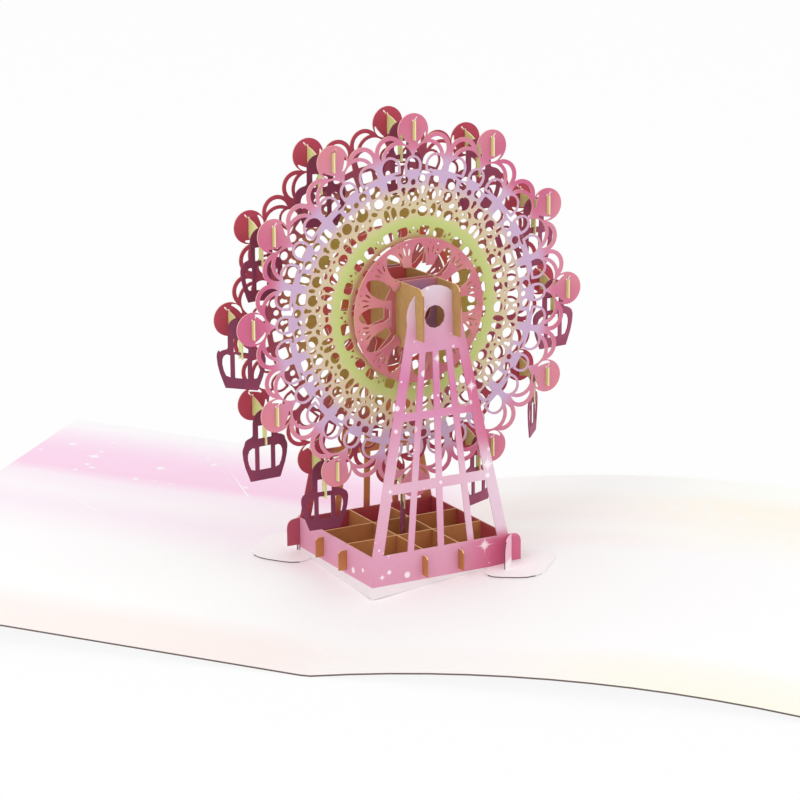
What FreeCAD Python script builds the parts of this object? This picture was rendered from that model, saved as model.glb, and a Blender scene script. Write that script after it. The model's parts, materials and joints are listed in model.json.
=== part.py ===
import FreeCAD, Part
import math
import os

# Pop up card: an opened folded card with a paper fairground wheel standing on its fold.
# Millimetres, +Z up. Origin: middle of the card, on the surface that it lies on.
# The fold runs along Y and the leaves reach out along -X and +X.
# The pop up is drawn in a frame of its own: its wheel turns in the XZ plane, -Y is its front,
# and z = 0 is the lower edge of the printed box walls. stand() puts it on the card.

# Paper and fits
PAPER = 0.4            # thickness of every cut sheet of the pop up
SLOT_PLAY = 0.06       # free space on each side of a sheet in its slot
SEAT_GAP = 0.05        # space left where one sheet sits on or against another
DISC_TURN = 45.0       # the wheel's plane is turned this far from the X axis

# Card
CARD_LENGTH = 200.0    # along the fold
LEAF_REACH = 150.0     # fold line to outer edge, measured flat on the surface
CARD_THICK = 0.5
CREASE_HALF = 1.5      # half of the flattened crease that lies on the surface
LEFT_LIFT = 4.2        # degrees by which the left leaf springs up
RIGHT_RISE = 5.6       # height of the bow in the right leaf

# Box under the wheel
BOX_SIDE = 47.5
BOX_HEIGHT = 9.5
DIVIDER_X = 6.3        # dividers that run front to back, each side of the middle
DIVIDER_Y = 7.6        # dividers that run left to right
TAB_LOW = 2.1          # divider tab where it passes a wall
TAB_HIGH = 7.6
TAB_REACH = 2.8        # how far a tab pokes out of the wall
TAB_HOOK = 0.75        # how far the tab's hook hangs below its slot
FOOT_STEPS = 4         # straight runs by which a wall's lower edge follows the leaf
END_TAB = 4.6          # wall end that pokes past the left and right corners
END_TAB_ROUND = 2.7
END_TAB_LIFT = 0.8     # its lower edge clears the anchor on the leaf

# Anchors glued on the leaves beside the box corners
ANCHOR_THICK = 0.3
ANCHOR_INSIDE = 5.1    # how far the patch reaches past the box corner towards the fold
ANCHOR_WIDTH = 19.0
ANCHOR_FRONT = 14.8
ANCHOR_BACK = 12.7
ANCHOR_ROUND = 6.9
FIN_OFFSET = 0.8       # from the box corner out to the standing fin
FIN_LENGTH = 7.9
FIN_HEIGHT = 9.5
FIN_ROUND = 4.2

# Towers
AXLE_HEIGHT = 80.5     # middle of the wheel above the printed walls' lower edge
TOWER_LEAN = 3.3       # how far a tower leans in over its wall by the height of the axle
TOWER_HEAD_RADIUS = 9.5
AXLE_HOLE = 3.5        # radius
LEG_WIDTH = 3.8
STRUT_WIDTH = 2.1
HEAD_DROP = 10.5       # axle down to the lower edge of the solid head
UPPER_BAR_DROP = 29.6  # axle down to the middle of the upper cross bar
UPPER_BAR_DEPTH = 2.4
LOWER_BAR_DROP = 51.1
LOWER_BAR_DEPTH = 3.1

# Hub plates that carry the discs from tower to tower
HUB_PLATE_X = 6.3
HUB_PLATE_UP = 9.5     # above the axle
HUB_PLATE_DOWN = 10.5  # below the axle
HUB_TAB_DOWN = 6.3
HUB_TAB_REACH = 4.4    # past the tower
HUB_TAB_ROUND = 3.0
HUB_LAP_UP = 0.5       # above the axle, where the tower's slot and the plate's notch meet

# Wheel discs
DISC_Y = 7.9           # middle of a wheel disc from the middle of the wheel
WHEEL_RADIUS = 59.6    # to the outermost edge of a round head
# The disc's cut pattern, in shares of the wheel's radius
HEAD_SHARE = 0.0865    # radius of a round head
LOOP_AT = 0.822        # ring on which the scalloped loops lie
LOOP_SHARE = 0.083     # radius of a loop
LOOP_TURN = 9.4        # degrees from a loop to the nearest round head
EYE_FROM = 0.715       # low and high edge of the arched eyes
EYE_TO = 0.777
EYE_WIDE_SHARE = 0.040   # half width of an eye's low edge
EYE_HIGH_SHARE = 0.022   # half width of its high edge
WINDOW_FROM = 0.626      # low and high edge of the square holes
WINDOW_TO = 0.684
WINDOW_WIDE_SHARE = 0.030
WINDOW_TURN = 10.5       # degrees from a round head
ROUND_AT = 0.584         # ring of round holes below the heads
ROUND_SHARE = 0.040
LOOP_WALL = 1.25
PETAL_IN = 13.5
PETAL_OUT = 20.9
PETAL_WIDTH = 6.0
HEADS = 12
HEAD_SIDES = 9         # straight runs along a round head's free edge
LOOP_SIDES = 4

# Smaller rose discs in front of and behind the wheel
HUB_DISC_Y = 11.1
HUB_DISC_RADIUS = 22.2
HUB_DISC_SIDES = 30

# Hangers between the two discs, one in each pair of round heads
HANGER_HALF = 3.0      # half height of the tab in the head's slot
HANGER_SHOULDER = 3.5
HANGER_REACH = 1.4     # past the disc
HANGER_STEM = 1.3      # half width
HANGER_THROAT = 2.8    # how low the stem starts
HANGER_DROP = 10.7     # how low the stem ends
HANGER_SEAT = 8.6      # where the gondola's bridge sits in the stem's notch

# Gondolas
NECK_HALF = 4.6
NECK_TOP = 2.1
NECK_SPRING = 4.0      # below the head's middle, where the round neck top starts
NECK_LOW = 8.6
BODY_HALF = 8.2
SHOULDER_LOW = 12.2
BODY_LOW = 16.6
BASE_HALF = 5.7
GONDOLA_DROP = 21.7
NECK_WINDOW_HALF = 2.0
NECK_WINDOW_TOP = 5.0
WINDOW_HALF = 2.4      # middle window
WINDOW_TOP = 10.7
WINDOW_LOW = 18.1
MULLION = 1.15
RIM = 1.5
# Degrees by which each gondola has swung about its stem, from the top one clockwise
GONDOLA_SWING = (8, -6, 10, 6, 48, 24, 56, -4, 5, -48, 12, -10)

HALF_PAPER = PAPER / 2
SLOT_HALF = HALF_PAPER + SLOT_PLAY
HALF_BOX = BOX_SIDE / 2
CORNER_REACH = HALF_BOX * math.sqrt(2)
ANCHOR_IN = CORNER_REACH - ANCHOR_INSIDE
HEAD_DISC = WHEEL_RADIUS * HEAD_SHARE
HEAD_RING = WHEEL_RADIUS - HEAD_DISC
LOOP_RING = WHEEL_RADIUS * LOOP_AT
LOOP_DISC = WHEEL_RADIUS * LOOP_SHARE


def polar(radius, degrees):
    """Point in the wheel's plane, clockwise from the top."""
    turn = math.radians(degrees)
    return (radius * math.sin(turn), radius * math.cos(turn))


def arc_points(middle, radius, start, end, runs):
    """Points along an arc, angles in degrees clockwise from the top."""
    points = []
    for i in range(runs + 1):
        dx, dz = polar(radius, start + (end - start) * i / runs)
        points.append((middle[0] + dx, middle[1] + dz))
    return points


def turned(points, degrees):
    """Points of a cut-out drawn at the top of the wheel, carried round it."""
    cos, sin = polar(1.0, 90 - degrees)[0], polar(1.0, degrees)[0]
    return [(x * cos + z * sin, z * cos - x * sin) for x, z in points]


def moved(points, dx, dz):
    return [(x + dx, z + dz) for x, z in points]


def rectangle(x0, x1, z0, z1):
    return [(x0, z0), (x1, z0), (x1, z1), (x0, z1)]


def sheet(outline, holes, spot, along):
    """A cut sheet. spot(a, b) turns drawing points into space, along is its thickness."""
    wires = []
    for loop in [outline] + holes:
        corners = [spot(a, b) for a, b in loop]
        wires.append(Part.makePolygon(corners + [corners[0]]))
    face = Part.makeFace(Part.makeCompound(wires), "Part::FaceMakerBullseye")
    return face.extrude(along)


def upright_sheet(outline, holes, y, thick=PAPER):
    """A sheet parallel to the wheel, its middle at y."""
    def spot(x, z):
        return FreeCAD.Vector(x, y - thick / 2, z)

    return sheet(outline, holes, spot, FreeCAD.Vector(0, thick, 0))


def cross_sheet(outline, holes, x, thick=PAPER):
    """A sheet square to the wheel, drawn in y and z, its middle at x."""
    def spot(y, z):
        return FreeCAD.Vector(x - thick / 2, y, z)

    return sheet(outline, holes, spot, FreeCAD.Vector(thick, 0, 0))


def card_bow():
    """Radius of the right leaf's underside and the height of its middle point's centre."""
    half = (LEAF_REACH - CREASE_HALF) / 2
    radius = (half ** 2 + RIGHT_RISE ** 2) / (2 * RIGHT_RISE)
    return radius, RIGHT_RISE - radius, CREASE_HALF + half


def leaf_top(x, extra=0.0):
    """Height of the card's upper face at x, or of a layer that lies on it."""
    layer = CARD_THICK + extra
    if x < -CREASE_HALF:
        lift = math.radians(LEFT_LIFT)
        return layer / math.cos(lift) + (-x - CREASE_HALF) * math.tan(lift)
    if x < CREASE_HALF:
        return layer
    radius, centre_z, centre_x = card_bow()
    return centre_z + math.sqrt((radius + layer) ** 2 - (x - centre_x) ** 2)


BOX_LEVEL = leaf_top(CORNER_REACH) + SEAT_GAP


def stand(shape):
    """From the pop up's own frame to its place on the card."""
    placed = shape.copy()
    placed.rotate(FreeCAD.Vector(0, 0, 0), FreeCAD.Vector(0, 0, 1), DISC_TURN)
    placed.translate(FreeCAD.Vector(0, 0, BOX_LEVEL))
    return placed


def leaf_layer(low, high, half_length):
    """Solid between two heights above the card's underside, with the card's bent section."""
    lift = math.radians(LEFT_LIFT)
    radius, centre_z, centre_x = card_bow()

    def left_edge(layer):
        return (-LEAF_REACH + layer * math.sin(lift),
                (LEAF_REACH - CREASE_HALF) * math.tan(lift) + layer * math.cos(lift))

    def bow_point(layer, x):
        lean = math.asin((x - centre_x) / radius)
        return (centre_x + (radius + layer) * math.sin(lean), centre_z + (radius + layer) * math.cos(lean))

    def at(point):
        return FreeCAD.Vector(point[0], -half_length, point[1])

    def bow(layer, first, last):
        middle = bow_point(layer, centre_x)
        return Part.Arc(at(bow_point(layer, first)), at(middle), at(bow_point(layer, last))).toShape()

    ends = []
    for layer in (low, high):
        ends.append((left_edge(layer), (-CREASE_HALF, layer), bow_point(layer, CREASE_HALF),
                     bow_point(layer, LEAF_REACH)))
    (a0, a1, a2, a3), (b0, b1, b2, b3) = ends
    edges = [Part.makeLine(at(a0), at(a1)), Part.makeLine(at(a1), at(a2)), bow(low, CREASE_HALF, LEAF_REACH),
             Part.makeLine(at(a3), at(b3)), bow(high, LEAF_REACH, CREASE_HALF), Part.makeLine(at(b2), at(b1)),
             Part.makeLine(at(b1), at(b0)), Part.makeLine(at(b0), at(a0))]
    return Part.Face(Part.Wire(edges)).extrude(FreeCAD.Vector(0, 2 * half_length, 0))


def card():
    return leaf_layer(0.0, CARD_THICK, CARD_LENGTH / 2)


def anchor_patch():
    """Outline on a leaf, x away from the fold, with a V notch round the box corner."""
    notch = (HALF_BOX + HALF_PAPER + SLOT_PLAY) * math.sqrt(2)
    inner, outer = ANCHOR_IN + ANCHOR_ROUND, ANCHOR_IN + ANCHOR_WIDTH - ANCHOR_ROUND
    front, back = ANCHOR_ROUND - ANCHOR_FRONT, ANCHOR_BACK - ANCHOR_ROUND
    points = [(notch, 0), (ANCHOR_IN, ANCHOR_IN - notch)]
    corners = ((inner, front), (outer, front), (outer, back), (inner, back))
    for i, middle in enumerate(corners):
        points += arc_points(middle, ANCHOR_ROUND, 270 - 90 * i, 180 - 90 * i, 4)
    return points + [(ANCHOR_IN, notch - ANCHOR_IN)]


def anchor(side):
    """Patch glued on a leaf, with a fin that stands beside the box corner. side is +1 right, -1 left."""
    middle = ANCHOR_IN + ANCHOR_WIDTH / 2
    slope = (leaf_top(side * (middle + 1)) - leaf_top(side * (middle - 1))) / 2
    level = leaf_top(side * middle) + SEAT_GAP
    up = FreeCAD.Vector(-slope, 0, 1).normalize() * ANCHOR_THICK
    patch = sheet(anchor_patch(), [], lambda x, y: FreeCAD.Vector(x, y, level + slope * (x - middle)), up)

    fin_x = CORNER_REACH + FIN_OFFSET
    back = fin_x - (HALF_BOX + HALF_PAPER + SLOT_PLAY) * math.sqrt(2)
    front = back - FIN_LENGTH
    foot = level + slope * (fin_x - middle) + ANCHOR_THICK / 2
    top = BOX_LEVEL + FIN_HEIGHT
    outline = [(front, foot), (back, foot), (back, top)]
    outline += arc_points((front + FIN_ROUND, top - FIN_ROUND), FIN_ROUND, 0, -90, 5)
    fin = cross_sheet(outline, [], fin_x + ANCHOR_THICK / 2, ANCHOR_THICK)
    shape = patch.fuse(fin).removeSplitter()
    if side < 0:
        shape.rotate(FreeCAD.Vector(0, 0, 0), FreeCAD.Vector(0, 0, 1), 180)
    return shape


def foot_height(fold_distance, side):
    """Lower edge of a wall at a distance from the fold, in the pop up's frame."""
    return min(0.0, leaf_top(side * fold_distance) + SEAT_GAP - BOX_LEVEL)


def tower_outline(side):
    """Front wall, legs and head in one outline. side says which leaf the wall crosses."""
    base = (HALF_BOX, BOX_HEIGHT)
    reach = math.hypot(base[0], AXLE_HEIGHT - base[1])
    lean = math.degrees(math.asin(TOWER_HEAD_RADIUS / reach) - math.atan2(base[0], AXLE_HEIGHT - base[1]))
    swing = 90 - lean
    points = arc_points((0, AXLE_HEIGHT), TOWER_HEAD_RADIUS, -swing, swing, 14)
    points.append(base)
    end = HALF_BOX + END_TAB
    points += arc_points((end - END_TAB_ROUND, BOX_HEIGHT - END_TAB_ROUND), END_TAB_ROUND, 0, 90, 4)
    points += [(end, END_TAB_LIFT), (HALF_BOX + HALF_PAPER, END_TAB_LIFT)]
    for i in range(FOOT_STEPS + 1):
        across = HALF_BOX + HALF_PAPER - (BOX_SIDE + HALF_PAPER) * i / FOOT_STEPS
        points.append((across, foot_height((across + HALF_BOX) / math.sqrt(2), side)))
    points.append((-HALF_BOX, BOX_HEIGHT))
    return points


def leg_line(z):
    """Half width of the tower at height z."""
    top = leg_top()
    return HALF_BOX + (top[0] - HALF_BOX) * (z - BOX_HEIGHT) / (top[1] - BOX_HEIGHT)


def leg_top():
    """Where the straight leg meets the round head."""
    reach = math.hypot(HALF_BOX, AXLE_HEIGHT - BOX_HEIGHT)
    lean = math.asin(TOWER_HEAD_RADIUS / reach) - math.atan2(HALF_BOX, AXLE_HEIGHT - BOX_HEIGHT)
    return (TOWER_HEAD_RADIUS * math.cos(lean), AXLE_HEIGHT - TOWER_HEAD_RADIUS * math.sin(lean))


def tower_gaps():
    """Openings between legs, struts and bars: three rows of four."""
    lower = AXLE_HEIGHT - LOWER_BAR_DROP
    upper = AXLE_HEIGHT - UPPER_BAR_DROP
    rows = ((BOX_HEIGHT, lower - LOWER_BAR_DEPTH / 2),
            (lower + LOWER_BAR_DEPTH / 2, upper - UPPER_BAR_DEPTH / 2),
            (upper + UPPER_BAR_DEPTH / 2, AXLE_HEIGHT - HEAD_DROP))
    gaps = []
    for low, high in rows:
        for column in range(4):
            corners = []
            for z in (low, high):
                inner = leg_line(z) - LEG_WIDTH
                pitch = (2 * inner - 3 * STRUT_WIDTH) / 4
                start = -inner + column * (pitch + STRUT_WIDTH)
                corners.append((start, start + pitch, z))
            (a, b, z0), (c, d, z1) = corners
            gaps.append([(a, z0), (b, z0), (d, z1), (c, z1)])
    return gaps


def wall_slots(offset):
    """The two slots in a wall for the tabs of the dividers."""
    low, high = TAB_LOW - SLOT_PLAY, TAB_HIGH + SLOT_PLAY
    return [rectangle(s * offset - SLOT_HALF, s * offset + SLOT_HALF, low, high) for s in (-1, 1)]


def side_wall(side):
    """Wall folded back from the tower's left edge, drawn in y and z, up to the far wall."""
    end = HALF_BOX - HALF_PAPER - SEAT_GAP
    start = -HALF_BOX - HALF_PAPER
    outline = [(start, BOX_HEIGHT), (end, BOX_HEIGHT)]
    for i in range(FOOT_STEPS + 1):
        along = end - (end - start) * i / FOOT_STEPS
        distance = max(0.0, along + HALF_BOX) / math.sqrt(2)
        outline.append((along, foot_height(distance, -side)))
    return cross_sheet(outline, wall_slots(DIVIDER_Y), -HALF_BOX)


def tower_distance(z):
    """From the wheel's middle to a tower's middle, z above the axle."""
    return HALF_BOX - TOWER_LEAN * (1 + z / (AXLE_HEIGHT - BOX_HEIGHT))


def bent_sheet():
    """Upright wall with the tower's sheet leaning in over the box, before its outline is cut."""
    top = 2 * TOWER_HEAD_RADIUS
    middle = [(HALF_BOX, -BOX_HEIGHT), (HALF_BOX, BOX_HEIGHT), (tower_distance(top), AXLE_HEIGHT + top)]
    outline = [(-y - HALF_PAPER, z) for y, z in middle] + [(HALF_PAPER - y, z) for y, z in reversed(middle)]
    return cross_sheet(outline, [], 0, 2 * BOX_SIDE)


def tower(side):
    """A tower sheet. side +1 is the front one, -1 the rear one, which is the same piece turned half round."""
    holes = tower_gaps() + wall_slots(DIVIDER_X)
    holes.append(arc_points((0, AXLE_HEIGHT), AXLE_HOLE, 0, 330, 11))
    shape = upright_sheet(tower_outline(side), holes, -HALF_BOX, 4 * TOWER_LEAN)
    shape = shape.common(bent_sheet())
    shape = shape.fuse(side_wall(side)).removeSplitter()
    for s in (-1, 1):
        corner = FreeCAD.Vector(s * HUB_PLATE_X - SLOT_HALF, -BOX_SIDE, AXLE_HEIGHT + HUB_LAP_UP)
        shape = shape.cut(Part.makeBox(2 * SLOT_HALF, BOX_SIDE, TOWER_HEAD_RADIUS * 2, corner))
    if side < 0:
        shape.rotate(FreeCAD.Vector(0, 0, 0), FreeCAD.Vector(0, 0, 1), 180)
    return shape


def divider(offset, notches, open_top):
    """A divider strip with its hooked tabs and the two notches where it crosses the other pair."""
    inner = HALF_BOX - HALF_PAPER - SEAT_GAP
    outer = HALF_BOX + HALF_PAPER
    tip = outer + TAB_REACH
    hook = outer + SEAT_GAP
    right = [(inner, 0.0), (inner, TAB_LOW), (hook, TAB_LOW), (hook, TAB_LOW - TAB_HOOK),
             (tip, TAB_LOW - TAB_HOOK), (tip, TAB_HIGH - TAB_HOOK), (tip - TAB_HOOK, TAB_HIGH),
             (inner, TAB_HIGH), (inner, BOX_HEIGHT)]
    left = [(-a, z) for a, z in reversed(right)]
    middle = BOX_HEIGHT / 2
    low_edge = []
    high_edge = []
    for place in (-notches, notches):
        cut = [(place - SLOT_HALF, 0.0), (place - SLOT_HALF, middle), (place + SLOT_HALF, middle),
               (place + SLOT_HALF, 0.0)]
        low_edge += cut
        high_edge += [(a, BOX_HEIGHT - z) for a, z in cut]
    outline = right
    if open_top:
        outline = outline + list(reversed(high_edge))
    outline = outline + left
    if not open_top:
        outline = outline + low_edge
    return outline


def hub_plate(x):
    """Plate that passes through both discs, with a notch over each tower."""
    tip = tower_distance(0) + HALF_PAPER + HUB_TAB_REACH
    top = tower_distance(HUB_LAP_UP)
    half = [(tower_distance(-HUB_PLATE_DOWN) - SLOT_HALF, -HUB_PLATE_DOWN), (top - SLOT_HALF, HUB_LAP_UP),
            (top + SLOT_HALF, HUB_LAP_UP), (tower_distance(-HUB_TAB_DOWN) + SLOT_HALF, -HUB_TAB_DOWN),
            (tip, -HUB_TAB_DOWN)]
    half += arc_points((tip - HUB_TAB_ROUND, HUB_PLATE_UP - HUB_TAB_ROUND), HUB_TAB_ROUND, 90, 0, 4)
    outline = half + [(-y, z) for y, z in reversed(half)]
    shape = cross_sheet(outline, [], x)
    shape.translate(FreeCAD.Vector(0, 0, AXLE_HEIGHT))
    return shape


def circle_meet(first, second):
    """Outer point where two overlapping circles of a scalloped edge cross."""
    (ax, az), ar = first
    (bx, bz), br = second
    gap = math.hypot(bx - ax, bz - az)
    along = (gap ** 2 + ar ** 2 - br ** 2) / (2 * gap)
    out = math.sqrt(ar ** 2 - along ** 2)
    ux, uz = (bx - ax) / gap, (bz - az) / gap
    options = [(ax + along * ux - s * out * uz, az + along * uz + s * out * ux) for s in (-1, 1)]
    return max(options, key=lambda p: math.hypot(*p))


def scalloped_edge():
    """Free edge of a wheel disc: a round head, then the loops, all the way round."""
    step = 360 / HEADS
    circles = []
    for k in range(HEADS):
        circles.append((polar(HEAD_RING, k * step), HEAD_DISC, HEAD_SIDES))
        for turn in (LOOP_TURN, step - LOOP_TURN):
            circles.append((polar(LOOP_RING, k * step + turn), LOOP_DISC, LOOP_SIDES))
    points = []
    for i, (middle, radius, runs) in enumerate(circles):
        before = circles[i - 1]
        after = circles[(i + 1) % len(circles)]
        start = circle_meet(before[:2], (middle, radius))
        end = circle_meet((middle, radius), after[:2])
        a0 = math.degrees(math.atan2(start[0] - middle[0], start[1] - middle[1]))
        a1 = math.degrees(math.atan2(end[0] - middle[0], end[1] - middle[1]))
        if a1 < a0:
            a1 += 360
        points += arc_points(middle, radius, a0, a1, runs)[:-1]
    return points


def crescent():
    """Gap between the two strips of a loop, drawn at the top of the wheel."""
    outer = LOOP_DISC - LOOP_WALL
    points = arc_points((0, LOOP_RING), outer, -84, 84, 2)
    points.append((0, LOOP_RING + outer - 2 * LOOP_WALL))
    return points


def lace_hole(low, high, half_low, half_high):
    """A small four-sided hole at the top of the wheel, all sizes in shares of the wheel's radius."""
    corners = [(-half_low, low), (half_low, low), (half_high, high), (-half_high, high)]
    return [(x * WHEEL_RADIUS, z * WHEEL_RADIUS) for x, z in corners]


def diamond(middle, half):
    """A four-sided hole on its tip, sized in shares of the wheel's radius."""
    corners = [polar(half * WHEEL_RADIUS, turn) for turn in (0, 90, 180, 270)]
    return moved(corners, 0, middle * WHEEL_RADIUS)


def petal():
    half = PETAL_WIDTH / 2
    widest = PETAL_IN + (PETAL_OUT - PETAL_IN) * 0.7
    return [(0, PETAL_IN), (half, widest), (0, PETAL_OUT), (-half, widest)]


def hub_slots():
    low = -HUB_PLATE_DOWN - SLOT_PLAY
    high = HUB_PLATE_UP + SLOT_PLAY
    return [rectangle(s * HUB_PLATE_X - SLOT_HALF, s * HUB_PLATE_X + SLOT_HALF, low, high) for s in (-1, 1)]


def wheel_disc(y):
    """One lace disc, with a slot in each round head for a hanger."""
    step = 360 / HEADS
    pitch = step / 3
    tab = HANGER_HALF + SLOT_PLAY
    holes = hub_slots()
    for k in range(HEADS):
        middle = polar(HEAD_RING, k * step)
        holes.append(moved(rectangle(-SLOT_HALF, SLOT_HALF, -tab, tab), middle[0], middle[1]))
        for turn in (LOOP_TURN, step - LOOP_TURN):
            holes.append(turned(crescent(), k * step + turn))
        for j in range(3):
            eye = lace_hole(EYE_FROM, EYE_TO, EYE_WIDE_SHARE, EYE_HIGH_SHARE)
            holes.append(turned(eye, k * step + j * pitch))
        for side in (-1, 1):
            window = lace_hole(WINDOW_FROM, WINDOW_TO, WINDOW_WIDE_SHARE, WINDOW_WIDE_SHARE)
            holes.append(turned(window, k * step + side * WINDOW_TURN))
        holes.append(turned(diamond(ROUND_AT, ROUND_SHARE), k * step))
        holes.append(turned(petal(), k * step))
    shape = upright_sheet(scalloped_edge(), holes, y)
    shape.translate(FreeCAD.Vector(0, 0, AXLE_HEIGHT))
    return shape


def hub_disc(y):
    outline = arc_points((0, 0), HUB_DISC_RADIUS, 0, 360 - 360 / HUB_DISC_SIDES, HUB_DISC_SIDES - 1)
    holes = hub_slots() + [turned(petal(), k * 360 / HEADS) for k in range(HEADS)]
    shape = upright_sheet(outline, holes, y)
    shape.translate(FreeCAD.Vector(0, 0, AXLE_HEIGHT))
    return shape


def crossing_half(swing):
    """Half width of a slot through which a sheet passes at a slant."""
    turn = math.radians(abs(swing))
    return (PAPER / math.cos(turn) + PAPER * math.tan(turn)) / 2 + SLOT_PLAY


def hanger(k):
    """Sheet that joins the k-th pair of round heads and carries a gondola on its stem."""
    middle = polar(HEAD_RING, k * 360 / HEADS)
    notch = crossing_half(GONDOLA_SWING[k])
    stop = DISC_Y - HALF_PAPER - SEAT_GAP
    tip = DISC_Y + HALF_PAPER + HANGER_REACH
    right = [(notch, -HANGER_SEAT), (notch, -HANGER_DROP), (HANGER_STEM, -HANGER_DROP),
             (HANGER_STEM, -HANGER_THROAT), (stop, -HANGER_SHOULDER), (stop, -HANGER_HALF),
             (tip, -HANGER_HALF), (tip, HANGER_HALF)]
    outline = right + [(-y, z) for y, z in reversed(right)]
    shape = cross_sheet(outline, [], 0)
    shape.translate(FreeCAD.Vector(middle[0], 0, AXLE_HEIGHT + middle[1]))
    return shape


def gondola_outline(slit):
    """Outline with the slit from the neck top down to the neck window."""
    top = NECK_TOP + NECK_SPRING
    radius = (NECK_HALF ** 2 + top ** 2) / (2 * top)
    spring = math.degrees(math.asin(min(1.0, NECK_HALF / radius)))
    start = math.degrees(math.asin(slit / radius))
    right = [(slit, -NECK_WINDOW_TOP)]
    right += arc_points((0, NECK_TOP - radius), radius, start, spring, 3)
    right += [(NECK_HALF, -NECK_LOW), (BODY_HALF - RIM / 2, -NECK_LOW - RIM), (BODY_HALF, -SHOULDER_LOW),
              (BODY_HALF - RIM / 3, -BODY_LOW), (BASE_HALF, -GONDOLA_DROP)]
    window = [(NECK_WINDOW_HALF, -HANGER_SEAT - SEAT_GAP), (NECK_WINDOW_HALF, -NECK_WINDOW_TOP)]
    half = window + right
    return half + [(-u, z) for u, z in reversed(half)]


def gondola(k):
    """The k-th gondola, a flat cut-out that hangs in the notch of its hanger's stem."""
    swing = GONDOLA_SWING[k]
    side = WINDOW_HALF + MULLION
    pane = [(side, -WINDOW_TOP), (BODY_HALF - RIM, -WINDOW_TOP - RIM / 2),
            (BODY_HALF - 1.6 * RIM, -WINDOW_LOW), (side, -WINDOW_LOW)]
    holes = [rectangle(-WINDOW_HALF, WINDOW_HALF, -WINDOW_LOW, -WINDOW_TOP), pane, [(-u, z) for u, z in pane]]
    shape = upright_sheet(gondola_outline(crossing_half(swing)), holes, 0)
    shape.rotate(FreeCAD.Vector(0, 0, 0), FreeCAD.Vector(0, 0, 1), swing)
    middle = polar(HEAD_RING, k * 360 / HEADS)
    shape.translate(FreeCAD.Vector(middle[0], 0, AXLE_HEIGHT + middle[1]))
    return shape


def pieces():
    """Every sheet of the card by name."""
    found = {
        "card": card(),
        "left_anchor": anchor(-1),
        "right_anchor": anchor(1),
        "front_tower": stand(tower(1)),
        "rear_tower": stand(tower(-1)),
        "hub_plate_left": stand(hub_plate(-HUB_PLATE_X)),
        "hub_plate_right": stand(hub_plate(HUB_PLATE_X)),
        "wheel_disc_front": stand(wheel_disc(-DISC_Y)),
        "wheel_disc_rear": stand(wheel_disc(DISC_Y)),
        "hub_disc_front": stand(hub_disc(-HUB_DISC_Y)),
        "hub_disc_rear": stand(hub_disc(HUB_DISC_Y)),
    }
    for name, y in (("cross_divider_front", -DIVIDER_Y), ("cross_divider_rear", DIVIDER_Y)):
        found[name] = stand(upright_sheet(divider(y, DIVIDER_X, True), [], y))
    for name, x in (("side_divider_left", -DIVIDER_X), ("side_divider_right", DIVIDER_X)):
        found[name] = stand(cross_sheet(divider(x, DIVIDER_Y, False), [], x))
    for k in range(HEADS):
        found["hanger_%02d" % (k + 1)] = stand(hanger(k))
        found["gondola_%02d" % (k + 1)] = stand(gondola(k))
    return found


def main():
    os.makedirs("parts", exist_ok=True)
    for name, shape in pieces().items():
        shape.exportStep("parts/%s.step" % name)


main()
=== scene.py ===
import json
import math

import bmesh
import bpy
from mathutils import Matrix, Vector
from mathutils.geometry import delaunay_2d_cdt


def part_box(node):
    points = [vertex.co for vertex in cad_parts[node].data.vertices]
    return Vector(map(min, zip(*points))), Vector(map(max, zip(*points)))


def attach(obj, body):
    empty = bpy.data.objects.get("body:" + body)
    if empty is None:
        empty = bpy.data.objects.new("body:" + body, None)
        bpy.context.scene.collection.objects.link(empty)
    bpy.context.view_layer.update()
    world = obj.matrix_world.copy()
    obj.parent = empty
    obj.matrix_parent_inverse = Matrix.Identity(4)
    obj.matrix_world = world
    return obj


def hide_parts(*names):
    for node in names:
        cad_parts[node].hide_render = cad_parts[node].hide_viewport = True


# Opened pop up card with a paper fairground wheel. Metres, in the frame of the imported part.
# The wheel's own frame has x along the wheel, z up and its front towards -y. It is turned
# 45 degrees to the card, whose fold runs along Y.

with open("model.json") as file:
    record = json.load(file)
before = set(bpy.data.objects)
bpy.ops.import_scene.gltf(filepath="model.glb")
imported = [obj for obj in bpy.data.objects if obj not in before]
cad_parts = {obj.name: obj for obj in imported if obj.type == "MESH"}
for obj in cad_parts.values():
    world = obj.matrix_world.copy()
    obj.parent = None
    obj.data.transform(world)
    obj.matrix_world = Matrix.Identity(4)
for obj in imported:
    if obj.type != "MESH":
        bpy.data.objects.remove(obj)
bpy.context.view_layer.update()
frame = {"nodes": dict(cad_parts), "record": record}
MM = 0.001

# Sizes read from the frame
disc_low, disc_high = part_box("wheel_disc_front")
AXLE_Z = (disc_low.z + disc_high.z) / 2
WHEEL_R = (disc_high.z - disc_low.z) / 2
hub_low, hub_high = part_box("hub_disc_front")
HUB_R = (hub_high.z - hub_low.z) / 2
BOX_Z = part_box("cross_divider_front")[0].z

# The wheel's frame in the row frame
TURN = math.radians(45)
ALONG = Vector((math.cos(TURN), math.sin(TURN), 0))
FRONT = Vector((math.sin(TURN), -math.cos(TURN), 0))
UP = Vector((0, 0, 1))
AXLE = UP * AXLE_Z

# Fits of the cut sheets, as in the frame
PAPER = 0.4 * MM
PLAY = 0.06 * MM  # free space on each side of a sheet in its slot
DISC_Y = 7.9 * MM
HUB_DISC_Y = 11.1 * MM
HUB_PLATE_X = 6.3 * MM
HUB_PLATE_UP = 9.5 * MM
HUB_PLATE_DOWN = 10.5 * MM
HANGER_HALF = 3.0 * MM
HEADS = 12
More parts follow.
